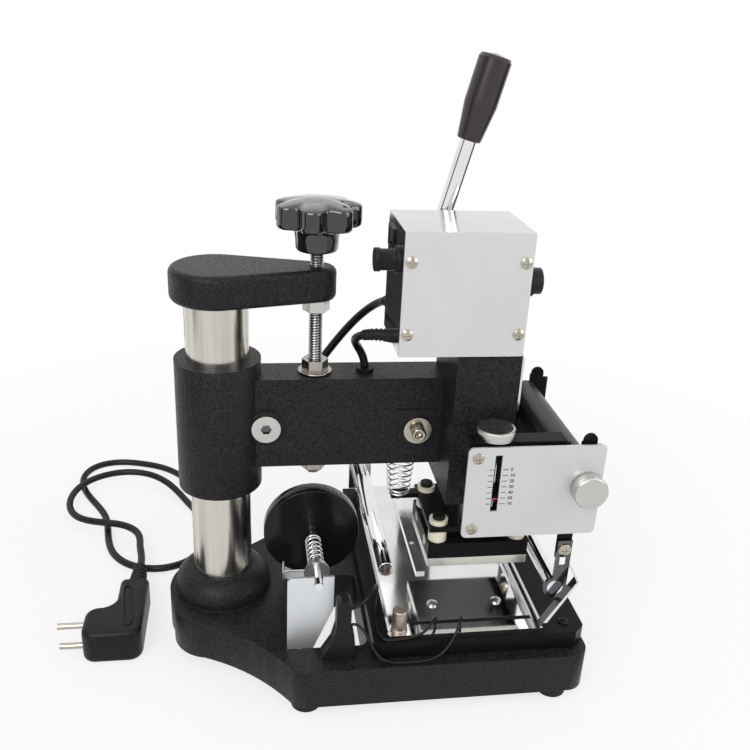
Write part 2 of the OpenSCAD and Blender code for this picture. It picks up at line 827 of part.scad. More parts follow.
module fuse_holder() {
    color(black_plastic) placed() {
        rod_x_axis(12, fuse_y, fuse_z, box_x - 3, box_x + 18);
        rod_x_axis(18.5, fuse_y, fuse_z, box_x - 3, box_x);
        rod_x_axis(14.5, fuse_y, fuse_z, box_x - 17, box_x - 2);
        rod_x_axis(16, fuse_y, fuse_z, box_x - 17, box_x - 13);
    }
}

module switch_body() {
    color(black_plastic) placed() difference() {
        union() {
            translate([box_x, switch_y - switch_w / 2, switch_z - switch_h / 2])
                cube([16, switch_w, switch_h]);
            translate([box_x - 1.5, switch_y - switch_w / 2 - 1, switch_z - switch_h / 2 - 1])
                cube([1.5, switch_w + 2, switch_h + 2]);
        }
        translate([box_x - 2, switch_y - switch_w / 2 + 1.5, switch_z - switch_h / 2 + 1.5])
            cube([10, switch_w - 3, switch_h - 3]);
    }
    color(steel) placed() translate([box_x + switch_pivot, switch_y, switch_z - switch_h / 2 + 1])
        cylinder(d = switch_pin_d, h = switch_h - 2);
}

// Rocker on a pivot along Z, tilted with one end in
module switch_rocker() {
    half = switch_w / 2 - 2;
    color(black_plastic) placed() translate([box_x + switch_pivot, switch_y, switch_z - switch_h / 2 + 2])
        rotate(switch_tilt) linear_extrude(switch_h - 4) difference() {
            polygon([[-3.2, -half + 1], [-1.8, 0], [-3.2, half - 1],
                [1, half - 1.4], [2.5, 0], [1, -half + 1.4]]);
            circle(d = switch_pin_d + 2 * run);
        }
}

module thermostat() {
    color(steel) placed() {
        rod_x_axis(15, dial_y, dial_z, box_right - box_t - 17, box_right - box_t);
        rod_x_axis(6, dial_y, dial_z, box_right - box_t - 1, box_right + dial_len - 2);
    }
}

module temperature_knob() {
    color(black_plastic) placed() difference() {
        union() {
            rod_x_axis(18, dial_y, dial_z, box_right + gap, box_right + dial_len);
            rod_x_axis(21, dial_y, dial_z, box_right + gap, box_right + 3);
        }
        rod_x_axis(6 + 2 * run, dial_y, dial_z, box_right, box_right + dial_len - 2 + gap);
        translate([box_right + dial_len - 1, dial_y - 0.7, dial_z]) cube([3, 1.4, 10]);
    }
}

// Cord gland at the back of the box, cable gland at its left and grommet on the arm
module cable_glands() {
    color(black_plastic) placed() {
        difference() {
            union() {
                rod_y(cord_d + 4, gland_x, gland_z, box_back - 6, box_back);
                rod_y(cord_d + 8, gland_x, gland_z, box_back, box_back + 3);
                rod_y(cord_d + 5, gland_x, gland_z, box_back + 2, box_back + gland_len);
            }
            rod_y(cord_d - 2, gland_x, gland_z, box_back - 7, box_back + gland_len - 4);
        }
        rod_x_axis(cable_d + 4, box_cable[1], box_cable[2], box_x - 3, box_x + 4);
        translate([grommet_x, 0, arm_top - 6]) cylinder(d = cable_d + 3, h = 6);
        translate([grommet_x, 0, arm_top]) cylinder(d = cable_d + 7, h = 3);
    }
}

module heater_cable() {
    start = box_cable - [3, 0, 0];
    stop = [grommet_x, 0, arm_top + 3];
    route = [start, start + [-7, 0, 1], start + [-15, 3, 0], start + [-21, 11, -4], start + [-22.5, 22, -11],
        stop + [-7, -3, 18], stop + [-1.5, 0, 9], stop];
    color(black_plastic) placed() swept(smooth(route, 3), cable_d / 2, 10);
}

// Outline of a feed plate with its open notch and ear
module feed_plate_outline(left) {
    right = scale_x + scale_w - 2;
    low = scale_low + 2;
    top = scale_low + scale_h - 2;
    difference() {
        union() {
            translate([left, low]) square([right - left, top - low]);
            translate([pinch_roller_x - 12, top - 1])
                square([ear_right - pinch_roller_x + 12, ear_top - top - ear_r]);
            translate([ear_right - ear_r, ear_top - ear_r]) circle(r = ear_r);
            translate([ear_right - 2 * ear_r, top - 1]) square([2 * ear_r, ear_top - top - ear_r + 1]);
            translate([leg_x - leg_w / 2, leg_low]) square([leg_w, low - leg_low + 1]);
        }
        translate([pinch_roller_x, pinch_z]) circle(r = pinch_shaft_d / 2 + run);
        translate([pinch_roller_x - pinch_shaft_d / 2 - run, pinch_z])
            square([pinch_shaft_d + 2 * run, ear_top]);
        translate([feed_x, feed_z]) circle(r = feed_shaft_d / 2 + run);
    }
}

// Front plate with its flanges and spacers, and the rear plate
module feed_plates() {
    left = scale_x + 2;
    color(black_cast) placed() {
        difference() {
            union() {
                plate_xz(feed_plate_y, feed_plate_y + feed_plate_t) feed_plate_outline(left);
                translate([left, feed_plate_y, flange_z - 8]) cube([flange_w, feed_plate_t, 8]);
                translate([left, feed_plate_y, flange_z]) cube([flange_w, flange_d, feed_plate_t]);
                translate([left, feed_plate_y, scale_low + 2]) cube([flange_w / 2, flange_d, feed_plate_t]);
                for (z = scale_screw_z) rod_y(screw_d, scale_x + 7, z, scale_y + scale_t, feed_plate_y + 1);
                rod_y(feed_shaft_d + 7, feed_x, feed_z, scale_y + scale_t, feed_plate_y + 1);
            }
            translate([pointer_x - pointer_slot_w / 2, feed_plate_y - 1, pointer_slot_low])
                cube([pointer_slot_w, feed_plate_t + 2, pointer_slot_h]);
            translate([pointer_x, pointer_y, scale_low])
                cylinder(d = feed_screw_d + 2 * run, h = scale_h + 20);
            for (z = scale_screw_z) rod_y(screw_core, scale_x + 7, z, scale_y, feed_plate_y + 5);
            rod_y(feed_shaft_d + 2 * run, feed_x, feed_z, scale_y, feed_plate_y + 5);
        }
        plate_xz(rear_plate_y, rear_plate_y + feed_plate_t) feed_plate_outline(left);
    }
}

module scale_plate() {
    color(silver_sheet) placed() difference() {
        plate_xz(scale_y, scale_y + scale_t) {
            round_rect(scale_x, scale_low, scale_w, scale_h, 4);
        }
        translate([pointer_x - pointer_slot_w / 2, scale_y - 1, pointer_slot_low])
            cube([pointer_slot_w, scale_t + 2, pointer_slot_h]);
        rod_y(feed_shaft_d + 1, feed_x, feed_z, scale_y - 1, scale_y + scale_t + 1);
        for (z = scale_screw_z)
            rod_y(screw_core, scale_x + 7, z, scale_y - 1, scale_y + 5);
    }
}

// Screw that sets the feed length, with its thumb disc
module feed_screw() {
    color(steel) placed() translate([pointer_x, pointer_y, 0]) {
        translate([0, 0, scale_low + 2]) cylinder(d = feed_screw_d, h = flange_z - scale_low);
        translate([0, 0, flange_z + feed_plate_t + gap]) cylinder(d = feed_disc_d, h = feed_disc_t);
        translate([0, 0, flange_z]) cylinder(d = feed_screw_d, h = 4);
    }
}

module feed_pointer() {
    color([0.75, 0.15, 0.12]) placed() difference() {
        union() {
            translate([pointer_x - pointer_block / 2, feed_plate_y + feed_plate_t + gap,
                pointer_z - pointer_block / 2]) cube([pointer_block, 12, pointer_block]);
            translate([pointer_x - pointer_slot_w / 2 + gap, scale_y, pointer_z - 1])
                cube([pointer_slot_w - 2 * gap, feed_plate_t + 6, 2]);
        }
        translate([pointer_x, pointer_y, pointer_z - 20]) cylinder(d = feed_screw_d + 2 * run, h = 40);
    }
}

module feed_roller() {
    color(grey_rubber) placed() difference() {
        rod_y(feed_d, feed_x, feed_z, roller_y0, roller_y1);
        rod_y(feed_shaft_d, feed_x, feed_z, roller_y0 - 1, roller_y1 + 1);
    }
}

// Feed shaft with its hand knob at the front
module feed_knob() {
    color(steel) placed() {
        rod_y(feed_shaft_d, feed_x, feed_z, scale_y - 1, rear_plate_y + feed_plate_t + 4);
        rod_y(feed_knob_d, feed_x, feed_z, scale_y - feed_knob_t - gap, scale_y - gap);
    }
}

module pinch_roller() {
    color(grey_rubber) placed() {
        rod_y(pinch_d, pinch_roller_x, pinch_z, roller_y0, roller_y1);
        rod_y(pinch_shaft_d, pinch_roller_x, pinch_z, feed_plate_y - 0.5, rear_plate_y + feed_plate_t + 3);
    }
}

// Slotted strip that holds one end of the right guide rod
module hanger_outline() {
    top = leg_screw_z + hanger_slot / 2 + 5;
    difference() {
        union() {
            translate([leg_x - leg_w / 2, guide_z]) square([leg_w, top - guide_z]);
            translate([right_guide_x, guide_z]) circle(r = guide_d / 2 + 3);
        }
        translate([leg_x - hanger_slot / 2, leg_screw_z - hanger_travel - screw_core / 2 - gap])
            square([hanger_slot, hanger_travel + screw_core + 2 * gap]);
        translate([right_guide_x, guide_z]) circle(d = guide_d);
    }
}

module rod_hangers() {
    color(chrome) placed() for (y = [feed_plate_y, rear_plate_y])
        plate_xz(y - hanger_t - gap, y - gap) hanger_outline();
}

module right_guide_rod() {
    color(chrome) placed()
        rod_y(guide_d, right_guide_x, guide_z, feed_plate_y - hanger_t - gap, rear_plate_y - gap);
}

// One rack tooth gap, drawn with the pitch line on X = 0
module rack_gap() {
    half = PI * gear_m / 4 + gear_play / 2;
    deep = 1.25 * gear_m;
    polygon([[-2 * gear_m, half + 2 * gear_m * tan(pressure)], [deep, half - deep * tan(pressure)],
        [deep, -half + deep * tan(pressure)], [-2 * gear_m, -half - 2 * gear_m * tan(pressure)]]);
}

module ram() {
    color(steel) placed() difference() {
        translate([ram_x, ram_y, plate_z + plate_t]) cylinder(d = ram_d, h = ram_top - plate_z - plate_t);
        translate([rack_x - gear_m - 20, ram_y - ram_d, rack_low])
            cube([20, 2 * ram_d, ram_top - rack_low + 1]);
        plate_xz(ram_y - ram_d, ram_y + ram_d)
            for (i = [-2 : 5]) translate([rack_x, lever_z + i * PI * gear_m]) rack_gap();
    }
}

module ram_plate() {
    color(black_cast) placed() difference() {
        union() {
            translate([heater_x - heater_w / 2, heater_front, plate_z]) cube([heater_w, heater_d, plate_t]);
            translate([tab_x, return_y - tab_w / 2, plate_z])
                cube([heater_x - heater_w / 2 - tab_x + 1, tab_w, plate_t]);
        }
        for (p = bush_xy) translate([p[0], p[1], plate_z - 1]) cylinder(d = bush_core, h = plate_t + 2);
    }
}

module ceramic_bushes() {
    color(ceramic_white) placed() for (p = bush_xy, part = [[bush_z, bush_h], [bush_top, bush_ring_h]])
        translate([p[0], p[1], part[0]]) difference() {
            cylinder(d = bush_d, h = part[1]);
            translate([0, 0, -1]) cylinder(d = bush_core, h = part[1] + 2);
        }
}

module bush_screws() {
    color(black_plastic) placed() for (p = bush_xy) translate([p[0], p[1], 0]) {
        translate([0, 0, heater_z + 6]) cylinder(d = bush_core, h = bush_top + bush_ring_h - heater_z - 6);
        translate([0, 0, bush_top + bush_ring_h]) cylinder(d = 9.5, h = 3);
    }
}

module heater_block() {
    color(black_cast) placed() difference() {
        translate([heater_x - heater_w / 2, heater_front, heater_z]) cube([heater_w, heater_d, heater_t]);
        for (y = cartridge_y) rod_x_axis(cartridge_d, y, heater_z + heater_t / 2,
            heater_x - heater_w / 2 - 1, heater_x + heater_w / 2 - 4);
        for (p = bush_xy) translate([p[0], p[1], heater_z + 6]) cylinder(d = bush_core, h = heater_t);
    }
}

module cartridge_heaters() {
    color(steel) placed() for (y = cartridge_y) rod_x_axis(cartridge_d, y, heater_z + heater_t / 2,
        heater_x - heater_w / 2, heater_x + heater_w / 2 - 4);
}

module die_plate() {
    color([0.78, 0.77, 0.74]) placed() translate([heater_x - heater_w / 2, heater_front, die_z])
        cube([heater_w, heater_d, die_t]);
}

// Involute of the base circle at radius r, in degrees
function involute(r) = let (t = sqrt(max(0, pow(r / (gear_r * cos(pressure)), 2) - 1)))
    t * 180 / PI - atan(t);
function half_tooth(r) = 90 / gear_teeth - gear_play / gear_r * 45 / PI * 2 + involute(gear_r) - involute(r);

module gear_outline() {
    root = gear_r - 1.25 * gear_m;
    low = gear_r * cos(pressure);
    radii = [for (s = [0 : 3]) low + (gear_r + gear_m - low) * s / 3];
    polygon([for (tooth = [0 : gear_teeth - 1], side = [-1, 1],
        r = side < 0 ? concat([root], radii) : concat([for (s = [3 : -1 : 0]) radii[s]], [root]))
        let (a = tooth * 360 / gear_teeth + side * half_tooth(r)) r * [cos(a), sin(a)]]);
}

// Lever shaft and the pinion cut on it
module pinion_shaft() {
    color(steel) placed() {
        plate_xz(ram_y - gear_w / 2, ram_y + gear_w / 2) translate([lever_x, lever_z]) gear_outline();
        rod_y(shaft_d, lever_x, lever_z, ram_y - cheek_in - cheek_t, lever_y + hub_w / 2);
    }
}

module along_lever() {
    translate([lever_x, lever_y, lever_z]) rotate([0, lever_lean, 0]) children();
}

module lever_rod() {
    color(chrome) placed() difference() {
        union() {
            rod_y(2 * hub_r, lever_x, lever_z, lever_y - hub_w / 2, lever_y + hub_w / 2);
            along_lever() cylinder(d = lever_d, h = lever_len - grip_len / 3);
        }
        rod_y(shaft_d, lever_x, lever_z, lever_y - hub_w, lever_y + hub_w);
    }
}

module lever_grip() {
    low = lever_len - grip_len;
    color([0.16, 0.15, 0.17]) placed() along_lever() difference() {
        rotate_extrude() polygon([[0, low], [grip_d * 0.33, low], [grip_d * 0.37, low + 1],
            [grip_d / 2, low + grip_len * 0.42], [grip_d / 2, lever_len - 4],
            [grip_d * 0.44, lever_len - 1.6],
            [0, lever_len]]);
        cylinder(d = lever_d, h = lever_len - grip_len / 3);
    }
}

// Extension spring between the arm and the tab of the ram plate
function coil_path(r, turns, length, steps) = [for (i = [0 : turns * steps])
    [r * cos(360 * i / steps), r * sin(360 * i / steps), length * i / (turns * steps)]];

module return_spring() {
    length = arm_low - return_low - return_wire - 0.2;
    path = coil_path(return_r, return_turns, length, 8);
    echo(return_spring_gap = least_gap(path, 5, return_wire / 2));
    color(chrome) placed() translate([return_x, return_y, return_low + return_wire / 2])
        swept(path, return_wire / 2, 6);
}

module adjuster_rod() {
    color(steel) placed() translate([rod_x, 0, rod_low])
        cylinder(r = rod_r, h = knob_low + knob_hub_h - rod_low);
}

module star_knob() {
    color(black_plastic) placed() translate([rod_x, 0, knob_low]) difference() {
        union() {
            cylinder(r = knob_hub_r, h = knob_hub_h);
            translate([0, 0, knob_hub_h]) {
                cylinder(d = knob_d - 2 * lobe_knob_r, h = knob_h);
                for (i = [0 : knob_lobes - 1]) rotate(360 * i / knob_lobes)
                    translate([knob_d / 2 - lobe_knob_r, 0]) cylinder(r = lobe_knob_r, h = knob_h);
            }
        }
        translate([0, 0, -1]) cylinder(r = rod_r, h = knob_hub_h + 1);
    }
}

// Nuts and washers that hold the rod in the arm
module arm_nuts() {
    color(steel) placed() translate([rod_x, 0, 0]) {
        translate([0, 0, arm_top + gap]) difference() {
            cylinder(d = washer_d, h = washer_t);
            translate([0, 0, -1]) cylinder(r = rod_r, h = washer_t + 2);
        }
        translate([0, 0, arm_top + gap + washer_t]) hex_nut(nut_af, nut_h, rod_d);
        translate([0, 0, arm_low - gap - nut_h]) hex_nut(nut_af, nut_h, rod_d);
    }
}

module reel_shaft() {
    color(chrome) placed() rod_y(reel_shaft_d, reel_x, reel_z, reel_y0 - shaft_proud, reel_y1 + shaft_proud);
}

module reel_disc() {
    color(black_plastic) placed() difference() {
        rod_y(reel_d, reel_x, reel_z, reel_disc_y - reel_disc_t, reel_disc_y);
        difference() {
            rod_y(reel_d - 2 * reel_rim, reel_x, reel_z, reel_disc_y - 4, reel_disc_y + 1);
            rod_y(22, reel_x, reel_z, reel_disc_y - 5, reel_disc_y + 2);
        }
        rod_y(reel_shaft_d, reel_x, reel_z, reel_disc_y - 20, reel_disc_y + 20);
    }
}

module reel_spring() {
    length = spring_y1 - spring_y0 - spring_wire;
    path = coil_path(spring_r, spring_turns, length, 8);
    echo(reel_spring_gap = least_gap(path, 5, spring_wire / 2));
    color(chrome) placed() translate([reel_x, spring_y1 - spring_wire / 2, reel_z]) rotate([90, 0, 0])
        swept(path, spring_wire / 2, 6);
}

// Collar, washer and bent wire that press the foil roll
module reel_collar() {
    wire = 1.8;
    color(steel) placed() {
        difference() {
            union() {
                rod_y(collar_d, reel_x, reel_z, spring_y0 - collar_len, spring_y0 - 0.1);
                rod_y(collar_d + 4, reel_x, reel_z, spring_y0 - collar_len, spring_y0 - collar_len + 1.2);
            }
            rod_y(reel_shaft_d, reel_x, reel_z, spring_y0 - 20, spring_y0 + 20);
        }
        rod_x_axis(wire, spring_y0 - collar_len / 2, reel_z, reel_x - 24, reel_x - collar_d / 2 + 1);
        translate([reel_x - 24, spring_y0 - collar_len / 2, reel_z - wire / 2]) cylinder(d = wire, h = 9);
    }
}

module power_cord() {
    color(black_plastic) placed() swept(smooth(cord_route, 4), cord_r, 10);
}

// Loose loops on the floor, one over the other
module cord_coil() {
    path = smooth(loop_route, 4);
    echo(cord_coil_gap = least_gap(path, 8, cord_r));
    color(black_plastic) placed() swept(path, cord_r, 10);
}

module plug_lead() {
    color(black_plastic) placed() swept(smooth(plug_lead_route, 4), cord_r, 10);
}

// The plug from above: a body for the pins, a neck for the cord and a round shoulder between them
module plug_outline() {
    neck_x = plug_neck[0] - plug_neck_w / 2;
    shoulder_y = plug_y + plug_d;
    round_rect(plug_x, plug_y, plug_w, plug_d, plug_r);
    round_rect(neck_x, plug_y + plug_r, plug_neck_w, plug_neck[1] - plug_y - plug_r, 3);
    difference() {
        translate([neck_x - shoulder_r, shoulder_y - 1]) square([shoulder_r + 1, shoulder_r + 1]);
        translate([neck_x - shoulder_r, shoulder_y + shoulder_r]) circle(r = shoulder_r);
    }
}

// Moulded angled plug lying on its side, with a ribbed strain relief
module plug() {
    rib = relief_len / relief_ribs;
    color(black_plastic) placed() {
        linear_extrude(plug_h) plug_outline();
        for (i = [0 : relief_ribs - 1]) {
            y = plug_neck[1] + i * rib;
            rod_y(cord_d + 4, plug_neck[0], plug_h / 2, y - 1, y + rib);
            rod_y(cord_d + 10 - i, plug_neck[0], plug_h / 2, y, y + rib * 0.55);
        }
    }
}

module plug_pins() {
    color(steel) placed() for (side = [-1, 1])
        rod_x_axis(pin_d, plug_y + plug_d / 2, plug_h / 2 + side * pin_gap / 2,
            plug_x - pin_len, plug_x + 4);
}

base_casting();
rubber_feet();
column();
top_cap();
bed_plate();
frame_fasteners();
work_tray();
stop_post();
card_fence();
left_guide_rod();
rod_bracket();
reel_brackets();
connector_block();
lead_a();
lead_b();
arm_casting();
head_casting();
head_side_plate();
box_body();
box_front_panel();
arm_fasteners();
fuse_holder();
switch_body();
switch_rocker();
thermostat();
temperature_knob();
cable_glands();
heater_cable();
feed_plates();
scale_plate();
feed_screw();
feed_pointer();
feed_roller();
feed_knob();
pinch_roller();
rod_hangers();
right_guide_rod();
ram();
ram_plate();
ceramic_bushes();
bush_screws();
heater_block();
cartridge_heaters();
die_plate();
pinion_shaft();
lever_rod();
lever_grip();
return_spring();
adjuster_rod();
star_knob();
arm_nuts();
reel_shaft();
reel_disc();
reel_spring();
reel_collar();
power_cord();
cord_coil();
plug_lead();
plug();
plug_pins();
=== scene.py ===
import math
import bmesh
import bpy
from mathutils import Matrix, Vector


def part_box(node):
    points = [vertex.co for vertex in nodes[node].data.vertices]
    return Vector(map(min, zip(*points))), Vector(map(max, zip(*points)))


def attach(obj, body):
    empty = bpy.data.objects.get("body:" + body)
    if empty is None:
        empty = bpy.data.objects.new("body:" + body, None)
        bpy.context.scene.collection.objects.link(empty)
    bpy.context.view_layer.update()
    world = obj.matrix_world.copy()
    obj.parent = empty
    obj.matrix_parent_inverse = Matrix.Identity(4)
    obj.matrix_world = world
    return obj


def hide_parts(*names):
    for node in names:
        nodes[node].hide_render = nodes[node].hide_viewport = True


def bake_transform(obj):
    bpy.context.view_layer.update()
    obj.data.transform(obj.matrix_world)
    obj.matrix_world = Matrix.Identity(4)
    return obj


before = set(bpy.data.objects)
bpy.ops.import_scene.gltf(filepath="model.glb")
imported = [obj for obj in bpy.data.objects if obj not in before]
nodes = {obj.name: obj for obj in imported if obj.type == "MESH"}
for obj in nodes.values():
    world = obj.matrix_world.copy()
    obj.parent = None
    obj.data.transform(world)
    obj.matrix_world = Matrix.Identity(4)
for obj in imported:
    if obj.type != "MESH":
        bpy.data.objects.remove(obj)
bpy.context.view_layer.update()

scene = bpy.context.scene


# Points are written in millimetres from the column's axis. The frame's origin lies here in that system.
ORIGIN_X, ORIGIN_Y = 113.5, 5.5
ROD_X = 70


def place(x, y, z):
    return Vector(((x - ORIGIN_X) / 1000, (y - ORIGIN_Y) / 1000, z / 1000))


# Camera, with the focal length in pixels of a picture of PICTURE_SIZE

PITCH, YAW, ROLL = 22.97, 9.05, 2.82
CAMERA_SPOT = (-0.0913, -0.5877, 0.471)
FOCAL_LENGTH, PICTURE_SIZE = 861, 750
SENSOR = 36


def make_camera():
    pitch, yaw, roll = math.radians(PITCH), math.radians(YAW), math.radians(ROLL)
    ahead = Vector((math.sin(yaw) * math.cos(pitch), math.cos(yaw) * math.cos(pitch), -math.sin(pitch)))
    side = Vector((math.cos(yaw), -math.sin(yaw), 0))
    up = Vector((math.sin(yaw) * math.sin(pitch), math.cos(yaw) * math.sin(pitch), math.cos(pitch)))
    right = math.cos(roll) * side + math.sin(roll) * up
    top = math.cos(roll) * up - math.sin(roll) * side
    data = bpy.data.cameras.new("camera")
    data.sensor_width = SENSOR
    data.lens = FOCAL_LENGTH / PICTURE_SIZE * SENSOR
    data.clip_start = 0.01
    data.clip_end = 50
    camera = bpy.data.objects.new("camera", data)
    scene.collection.objects.link(camera)
    turn = Matrix((right, top, -ahead)).transposed()
    camera.matrix_world = Matrix.Translation(CAMERA_SPOT) @ turn.to_4x4()
    scene.camera = camera


make_camera()


# Materials

def new_material(name):
    material = bpy.data.materials.new(name)
    material.use_nodes = True
    tree = material.node_tree
    shader = tree.nodes["Principled BSDF"]
    coords = tree.nodes.new("ShaderNodeTexCoord")
    return material, tree, shader, coords


def noise(tree, source, scale, detail=3.0, stretch=None):
    texture = tree.nodes.new("ShaderNodeTexNoise")
    texture.inputs["Scale"].default_value = scale
    texture.inputs["Detail"].default_value = detail
    if stretch:
        mapping = tree.nodes.new("ShaderNodeMapping")
        mapping.inputs["Scale"].default_value = stretch
        tree.links.new(source, mapping.inputs["Vector"])
        source = mapping.outputs["Vector"]
    tree.links.new(source, texture.inputs["Vector"])
    return texture.outputs["Fac"]


def span(tree, value, low, high, start=0.3, stop=0.7):
    node = tree.nodes.new("ShaderNodeMapRange")
    node.inputs["From Min"].default_value = start
    node.inputs["From Max"].default_value = stop
    node.inputs["To Min"].default_value = low
    node.inputs["To Max"].default_value = high
    tree.links.new(value, node.inputs["Value"])
    return node.outputs["Result"]


def math_node(tree, operation, first, second):
    node = tree.nodes.new("ShaderNodeMath")
    node.operation = operation
    tree.links.new(first, node.inputs[0])
    tree.links.new(second, node.inputs[1])
    return node.outputs[0]


# 1 for rays from the camera, mirrors and clear pieces, which see a white surround
def seen_rays(tree):
    rays = tree.nodes.new("ShaderNodeLightPath").outputs
    seen = math_node(tree, "MAXIMUM", rays["Is Camera Ray"], rays["Is Glossy Ray"])
    return math_node(tree, "MAXIMUM", seen, rays["Is Transmission Ray"])


def add_bump(tree, shader, height, strength, distance):
    bump = tree.nodes.new("ShaderNodeBump")
    bump.inputs["Strength"].default_value = strength
    bump.inputs["Distance"].default_value = distance
    tree.links.new(height, bump.inputs["Height"])
    last = shader.inputs["Normal"]
    if last.is_linked:
        tree.links.new(last.links[0].from_socket, bump.inputs["Normal"])
    tree.links.new(bump.outputs["Normal"], last)


# A finish with patches of shade, uneven roughness and a fine grain
def finish_material(name, colour, rough, spread=0.06, metal=0.0, patch=25, shade=0.12, grain=900, bump=0.15,
                    depth=0.0002, stretch=None, coat=0.0, specular=0.5):
    material, tree, shader, coords = new_material(name)
    place_in = coords.outputs["Object"]
    shader.inputs["Metallic"].default_value = metal
    shader.inputs["Specular IOR Level"].default_value = specular
    shader.inputs["Coat Weight"].default_value = coat
    shader.inputs["Coat Roughness"].default_value = 0.08
    ramp = tree.nodes.new("ShaderNodeValToRGB")
    ramp.color_ramp.elements[0].position = 0.3
    ramp.color_ramp.elements[1].position = 0.7
    ramp.color_ramp.elements[0].color = [c * (1 - shade) for c in colour] + [1]
    ramp.color_ramp.elements[1].color = [min(1, c * (1 + shade)) for c in colour] + [1]
    tree.links.new(noise(tree, place_in, patch, 4.0, stretch), ramp.inputs["Fac"])
    tree.links.new(ramp.outputs["Color"], shader.inputs["Base Color"])
    rough_noise = noise(tree, place_in, grain * 0.35, 3.0, stretch)
    tree.links.new(span(tree, rough_noise, max(0.01, rough - spread), rough + spread), shader.inputs["Roughness"])
    add_bump(tree, shader, noise(tree, place_in, grain, 3.0, stretch), bump, depth)
    return material


def cast_paint():
    material = finish_material("black_paint", (0.0135, 0.0128, 0.0152), 0.38, 0.10, patch=620, shade=0.8, grain=1300,
                               bump=0.5, depth=0.0003, specular=0.16)
    tree = material.node_tree
    coords = [n for n in tree.nodes if n.type == "TEX_COORD"][0]
    cells = tree.nodes.new("ShaderNodeTexVoronoi")
    cells.feature = "SMOOTH_F1"
    cells.inputs["Scale"].default_value = 850
    tree.links.new(coords.outputs["Object"], cells.inputs["Vector"])
    add_bump(tree, tree.nodes["Principled BSDF"], cells.outputs["Distance"], 0.5, 0.0005)
    return material


M = {
    "paint": cast_paint(),
    "chrome": finish_material("chrome", (0.78, 0.78, 0.79), 0.06, 0.03, metal=1, shade=0.04, grain=120, bump=0.03,
                              depth=0.0002),
    "column": finish_material("column_chrome", (0.58, 0.55, 0.50), 0.20, 0.06, metal=1, patch=160, shade=0.16,
                              grain=700, bump=0.10, depth=0.0001, stretch=(1, 1, 0.02)),
    # Dark chrome as painted shade in recesses and under things, and as painted dark reflection on chrome pieces
    "painted_shade": finish_material("painted_shade_and_reflection", (0.12, 0.12, 0.13), 0.12, 0.03, metal=1, shade=0.08, grain=200, bump=0.04,
                            depth=0.0001),
    "tray": finish_material("tray_chrome", (0.74, 0.74, 0.74), 0.06, 0.03, metal=1, shade=0.04, grain=60, bump=0.04,
                            depth=0.0003),
    "steel": finish_material("zinc_steel", (0.56, 0.55, 0.53), 0.24, 0.05, metal=1, shade=0.06, grain=500, bump=0.05,
                             depth=0.0001),
    "nut": finish_material("nut_steel", (0.40, 0.37, 0.34), 0.16, 0.05, metal=1, shade=0.10, patch=120, grain=500,
                           bump=0.05, depth=0.0001),
    "thread": finish_material("thread_steel", (0.44, 0.44, 0.45), 0.14, 0.04, metal=1, shade=0.08, patch=120,
                              grain=500, bump=0.03, depth=0.0001),
    "screw": finish_material("screw_steel", (0.44, 0.40, 0.34), 0.20, 0.05, metal=1, shade=0.08, grain=500, bump=0.05,
                             depth=0.0001),
    "panel": finish_material("satin_panel", (0.60, 0.60, 0.60), 0.46, 0.04, metal=0.7, shade=0.02, grain=1600,
                             bump=0.08, depth=0.00006),
    "sheet": finish_material("mirror_sheet", (0.66, 0.66, 0.68), 0.14, 0.03, metal=1, shade=0.03, grain=80, bump=0.03,
                             depth=0.0002),
    "bracket": finish_material("bracket_sheet", (0.74, 0.76, 0.78), 0.46, 0.03, metal=1, shade=0.03, grain=2000,
                               bump=0.05, depth=0.00003),
    "black": finish_material("black_plastic", (0.010, 0.010, 0.011), 0.38, 0.08, patch=300, shade=0.3, grain=2500,
                             bump=0.15, depth=0.0001, specular=0.16),
    "plate": finish_material("plate_paint", (0.006, 0.006, 0.007), 0.34, 0.07, patch=200, shade=0.3, grain=1800,
                             bump=0.2, depth=0.00015, specular=0.08),
    "gloss": finish_material("gloss_black", (0.006, 0.006, 0.007), 0.14, 0.04, shade=0.2, grain=300, bump=0.03,
                             depth=0.0002, specular=0.25),
    "knob": finish_material("knob_black", (0.005, 0.005, 0.006), 0.10, 0.03, shade=0.2, grain=300, bump=0.02,
                            depth=0.0002, coat=1.0, specular=0.4),
    "grip": finish_material("grip_plastic", (0.026, 0.018, 0.023), 0.20, 0.06, shade=0.2, patch=60, grain=400,
                            bump=0.04, depth=0.0002, stretch=(1, 1, 0.25), specular=0.4),
    "rubber": finish_material("rubber", (0.014, 0.014, 0.014), 0.75, 0.08, shade=0.2, grain=1600, bump=0.25,
                              depth=0.0002, specular=0.25),
    "roller": finish_material("dark_rubber", (0.022, 0.020, 0.020), 0.36, 0.08, shade=0.15, grain=1800, bump=0.15,
                              depth=0.00015, specular=0.4),
    "ceramic": finish_material("ceramic", (0.78, 0.72, 0.58), 0.38, 0.08, shade=0.06, patch=120, grain=1200,
                               bump=0.12, depth=0.0001),
    "brass": finish_material("brass", (0.42, 0.35, 0.31), 0.42, 0.10, metal=1, patch=300, shade=0.2, grain=700,
                             bump=0.3, depth=0.0002, stretch=(1, 1, 3)),
    "die": finish_material("die_metal", (0.66, 0.65, 0.60), 0.24, 0.05, metal=1, shade=0.05, patch=60, grain=600,
                           bump=0.04, depth=0.0001),
    "red": finish_material("pointer_red", (0.45, 0.03, 0.025), 0.4, 0.06, shade=0.1, grain=1500, bump=0.1,
                           depth=0.0001),
    "cord": finish_material("cord", (0.007, 0.007, 0.008), 0.34, 0.08, shade=0.2, patch=40, grain=900, bump=0.12,
                            depth=0.0002, specular=0.25),
    "ink": finish_material("ink", (0.02, 0.02, 0.02), 0.5, 0.05, shade=0.2, grain=2000, bump=0.1, depth=0.00005),
}

